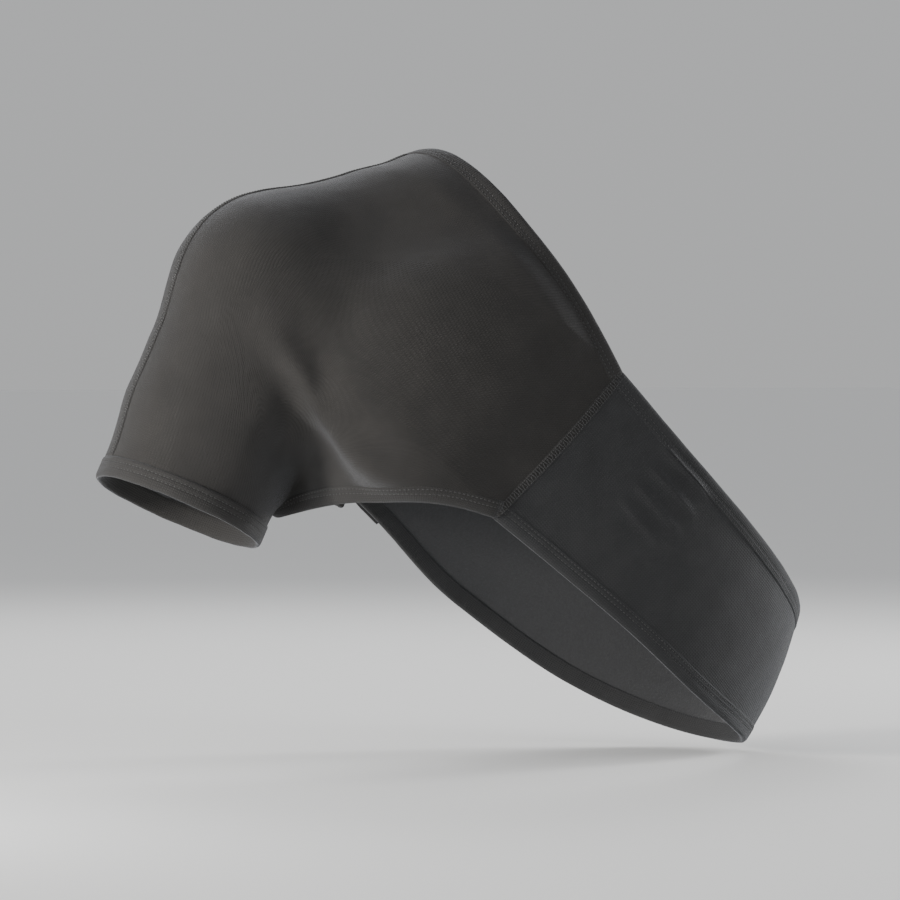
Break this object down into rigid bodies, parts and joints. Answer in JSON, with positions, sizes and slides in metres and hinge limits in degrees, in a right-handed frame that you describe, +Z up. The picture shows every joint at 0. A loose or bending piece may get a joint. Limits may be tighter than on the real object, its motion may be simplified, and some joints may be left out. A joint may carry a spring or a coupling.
{
  "type": "cold compression shoulder wrap",
  "caption": "Stretch fabric shoulder wrap with sealed gel packs, an arm cuff and a cross-body strap that closes on the front with a hook-and-loop tab.",
  "frame": {"origin": "centre of the wearer's left shoulder joint, inside the shoulder cap", "axes": "+X towards the wearer's right, +Y towards the wearer's front, +Z up"},
  "size_m": [0.4343, 0.2365, 0.3489],
  "materials": {
    "outer_knit": "matt stretch knit, charcoal black",
    "lining": "soft brushed knit, near black",
    "binding": "folded and stitched edge of the stretch knit",
    "thread": "flatlock stitching, black",
    "gel": "soft translucent gel",
    "film": "thin clear film",
    "hook_tape": "hook side of hook-and-loop tape",
    "loop_tape": "loop side of hook-and-loop tape",
    "label": "white satin ribbon, blank"
  },
  "bodies": {
    "wrap": {"back_panel": "outer_knit", "back_lining": "lining", "front_panel": "outer_knit", "front_lining": "lining", "shoulder_gel_film_inner": "film", "shoulder_gel_core": "gel", "shoulder_gel_film_outer": "film", "scapula_gel_film_inner": "film", "scapula_gel_core": "gel", "scapula_gel_film_outer": "film", "chest_gel_film_inner": "film", "chest_gel_core": "gel", "chest_gel_film_outer": "film", "neck_binding": "binding", "front_end_binding": "binding", "underarm_binding": "binding", "care_label": "label", "top_seam": "thread", "underarm_seam": "thread", "strap_outer": "outer_knit", "strap_lining": "lining", "strap_upper_binding": "binding", "strap_lower_binding": "binding", "strap_seam": "thread", "loop_patch": "loop_tape", "cuff_hem": "binding"},
    "tab": {"closure_tab": "outer_knit", "hook_patch": "hook_tape"}
  },
  "joints": [
    {"name": "tab_peel", "type": "hinge", "parent": "wrap", "child": "tab", "pos_m": [0.13098, 0.12048, -0.08077], "axis": [-0.706, -0.0436, -0.7068], "range_deg": [0, 120]}
  ]
}
